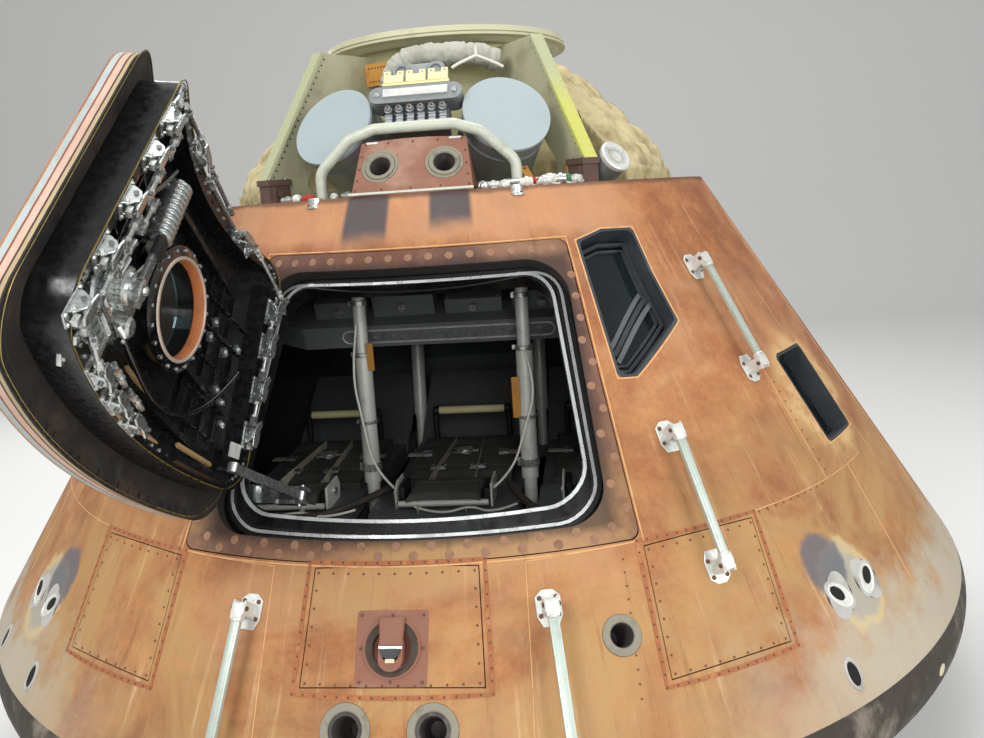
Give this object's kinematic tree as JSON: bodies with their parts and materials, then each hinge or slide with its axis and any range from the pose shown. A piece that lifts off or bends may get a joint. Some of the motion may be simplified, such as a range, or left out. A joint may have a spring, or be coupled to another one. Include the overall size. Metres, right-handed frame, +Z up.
{
  "type": "crewed space capsule",
  "caption": "Flown conical crew capsule with its side hatch open, scorched heat shield, bare parachute bay and docking tunnel.",
  "frame": {"origin": "lowest point of the dished heat shield, on the capsule's axis", "axes": "+Z up along the capsule's axis, the side hatch faces -Y, +X to the right seen from the hatch side"},
  "size_m": [3.9114, 4.2906, 2.65],
  "materials": {
    "ablator": "scorched honeycomb ablator, orange-brown and mottled",
    "aft_ablator": "charred dark ablator",
    "hull_metal": "dull grey hull skin",
    "frame_metal": "polished sealing frame",
    "door_black": "glossy black inner structure",
    "latch_metal": "bright plated latch work",
    "window_liner": "dark slate recess",
    "window_glass": "dark heat-proof glass",
    "tunnel_olive": "cream-olive primer",
    "gusset_green": "yellow-green primer with small holes",
    "lid_blue": "plain pale blue-grey lids",
    "tube_grey": "pale grey-green tube",
    "engine_brown": "reddish-brown heat-stained casing",
    "nozzle_grey": "dull grey heat-proof cup",
    "fitting_grey": "grey machined fittings",
    "duct_wrap": "white-grey wrapped duct",
    "pack_cloth": "beige quilted cloth",
    "rail_mint": "pale mint-silver rail",
    "couch_grey": "grey couch frame",
    "pad_cloth": "dark grey couch cloth",
    "panel_grey": "grey painted aluminium panels"
  },
  "bodies": {
    "root": {"aft_heat_shield": "aft_ablator", "cone_heat_shield": "ablator", "hatch_surround": "ablator", "access_panels": "ablator", "steam_vent": "engine_brown", "thruster_cups": "nozzle_grey", "window_frames": "window_liner", "window_panes": "window_glass", "pressure_hull": "hull_metal", "hatch_frame": "frame_metal", "forward_deck": "tunnel_olive", "docking_tunnel": "tunnel_olive", "tunnel_ring": "tunnel_olive", "tunnel_hatch": "tunnel_olive", "forward_gussets": "gusset_green", "apex_fittings": "engine_brown", "pitch_engine_housing": "engine_brown", "forward_nozzles": "nozzle_grey", "mortar_tubes": "fitting_grey", "mortar_lids": "lid_blue", "arch_bar": "tube_grey", "riser_unit": "fitting_grey", "wrapped_duct": "duct_wrap", "parachute_pack_left": "pack_cloth", "parachute_pack_right": "pack_cloth", "parachute_pack_rear": "pack_cloth", "pilot_canister": "fitting_grey", "handrails": "rail_mint", "couches": "couch_grey", "couch_pads": "pad_cloth", "couch_frame": "couch_grey", "couch_hangers": "couch_grey", "display_console": "panel_grey", "equipment_bay": "couch_grey", "hatch_hinge_lugs": "latch_metal", "hatch_stay_foot": "latch_metal"},
    "hatch": {"hatch_heat_shield": "ablator", "hatch_structure": "door_black", "hatch_window_ring": "door_black", "hatch_window_pane": "window_glass", "hatch_latches": "latch_metal", "hatch_gearbox": "latch_metal", "hatch_handle": "latch_metal", "hatch_gas_bottle": "latch_metal", "hatch_hinge_arms": "latch_metal"},
    "hatch_stay": {"hatch_stay": "latch_metal"}
  },
  "joints": [
    {"name": "hatch_hinge", "type": "hinge", "parent": "root", "child": "hatch", "pos_m": [-0.54138, -1.2754, 1.51971], "axis": [0.1072, 0.5424, 0.8333], "range_deg": [0, 86]},
    {"name": "stay_pivot", "type": "hinge", "parent": "root", "child": "hatch_stay", "pos_m": [-0.34199, -1.33087, 1.20853], "axis": [0.1072, 0.5424, 0.8333], "range_deg": [0, 99]}
  ],
  "couplings": [
    {"joint": "stay_pivot", "follows": "hatch_hinge", "ratio": 1.151}
  ]
}
